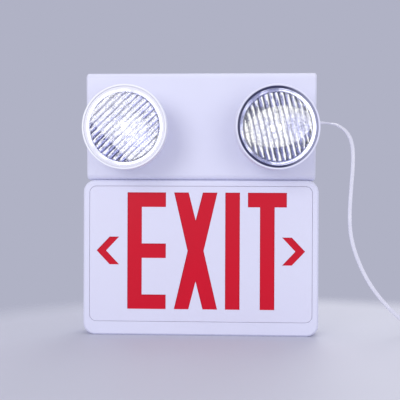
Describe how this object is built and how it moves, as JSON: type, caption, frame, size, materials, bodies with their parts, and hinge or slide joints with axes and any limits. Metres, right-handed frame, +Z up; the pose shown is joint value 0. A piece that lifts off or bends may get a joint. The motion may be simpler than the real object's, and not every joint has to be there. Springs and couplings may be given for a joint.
{
  "type": "emergency exit light",
  "caption": "Wall-mounted exit sign box with stencil lettering under a battery housing that carries round adjustable lamp heads and a flat mains cord.",
  "frame": {"origin": "middle of the face that the sign box stands on", "axes": "+X to the right seen from the front, +Y back towards the wall, +Z up"},
  "size_m": [0.5246, 0.1213, 0.3427],
  "materials": {
    "housing_plastic": "moulded ABS, satin white with a faint cool cast",
    "red_lens": "translucent red acrylic sheet",
    "circuit_board": "green solder mask on glass-epoxy board",
    "led_body": "moulded LED lens over yellow phosphor",
    "black_plastic": "black nylon, lightly textured",
    "button_plastic": "moulded light grey plastic",
    "battery_wrap": "blue shrink wrap over metal cells",
    "plated_steel": "zinc-plated steel",
    "winding_tape": "yellow polyester tape and film",
    "heat_sink_metal": "extruded aluminium",
    "cord_plastic": "white PVC",
    "plug_metal": "nickel-flashed brass",
    "reflector_metal": "vacuum-metallised plastic",
    "lens_clear": "clear polycarbonate"
  },
  "bodies": {
    "root": {"sign_frame": "housing_plastic", "sign_face": "housing_plastic", "red_lens": "red_lens", "sign_back_plate": "housing_plastic", "sign_led_board": "circuit_board", "sign_leds": "led_body", "upper_housing": "housing_plastic", "upper_back_plate": "housing_plastic", "wire_grommet": "black_plastic", "test_switch": "black_plastic", "indicator_led": "led_body", "battery_pack": "battery_wrap", "battery_strap": "plated_steel", "charger_board": "circuit_board", "transformer_core": "plated_steel", "transformer_winding": "winding_tape", "heat_sink": "heat_sink_metal", "relay": "black_plastic", "film_capacitor": "winding_tape", "fuse_holder": "black_plastic", "lamp_socket_left": "cord_plastic", "lamp_socket_right": "cord_plastic", "battery_socket": "cord_plastic", "power_transistor": "black_plastic", "cord_bushing": "cord_plastic", "power_cord": "cord_plastic", "power_cord_coil": "cord_plastic", "cord_tie": "black_plastic", "plug_body": "cord_plastic", "plug_blades": "plug_metal"},
    "test_button": {"test_button": "button_plastic"},
    "left_swivel": {"left_swivel_base": "housing_plastic", "left_swivel_clip": "plated_steel", "left_pivot_screw": "plated_steel"},
    "left_lamp": {"left_lamp_body": "housing_plastic", "left_led_board": "circuit_board", "left_led_emitter": "led_body", "left_reflector": "reflector_metal", "left_lens": "lens_clear"},
    "right_swivel": {"right_swivel_base": "housing_plastic", "right_swivel_clip": "plated_steel", "right_pivot_screw": "plated_steel"},
    "right_lamp": {"right_lamp_body": "housing_plastic", "right_led_board": "circuit_board", "right_led_emitter": "led_body", "right_reflector": "reflector_metal", "right_lens": "lens_clear"}
  },
  "joints": [
    {"name": "left_pan", "type": "hinge", "parent": "root", "child": "left_swivel", "pos_m": [-0.0913, -0.023, 0.267], "axis": [0, 1, 0], "range_deg": [-126, 214]},
    {"name": "left_tilt", "type": "hinge", "parent": "left_swivel", "child": "left_lamp", "pos_m": [-0.0913, -0.045, 0.267], "axis": [0.7193, 0, 0.6947], "range_deg": [-45, 45]},
    {"name": "right_pan", "type": "hinge", "parent": "root", "child": "right_swivel", "pos_m": [0.0913, -0.023, 0.267], "axis": [0, 1, 0], "range_deg": [-260, 80]},
    {"name": "right_tilt", "type": "hinge", "parent": "right_swivel", "child": "right_lamp", "pos_m": [0.0913, -0.045, 0.267], "axis": [0, 0, -1], "range_deg": [-36.5, 53.5]},
    {"name": "test_button_press", "type": "slide", "parent": "root", "child": "test_button", "axis": [1, 0, 0], "range_m": [0, 0.002], "stiffness_N_per_m": 400}
  ]
}
